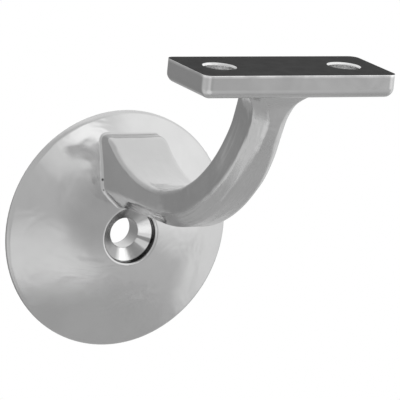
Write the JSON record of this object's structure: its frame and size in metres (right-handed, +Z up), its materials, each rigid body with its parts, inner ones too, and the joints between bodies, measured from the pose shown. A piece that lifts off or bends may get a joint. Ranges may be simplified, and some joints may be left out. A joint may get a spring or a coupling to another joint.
{
  "type": "handrail bracket",
  "caption": "Cast handrail bracket with a round domed wall rose, a U-shaped arm and a flat rectangular saddle, polished metal.",
  "frame": {"origin": "on the wall plane, on the axis of the wall screw at the centre of the rose", "axes": "-Y points away from the wall, +Z points up towards the rail, and X runs along the rail"},
  "size_m": [0.0648, 0.0931, 0.0947],
  "materials": {
    "polished_casting": "polished cast metal, with the upper face of the saddle left dark and unpolished"
  },
  "bodies": {
    "root": {"bracket": "polished_casting"}
  },
  "joints": []
}
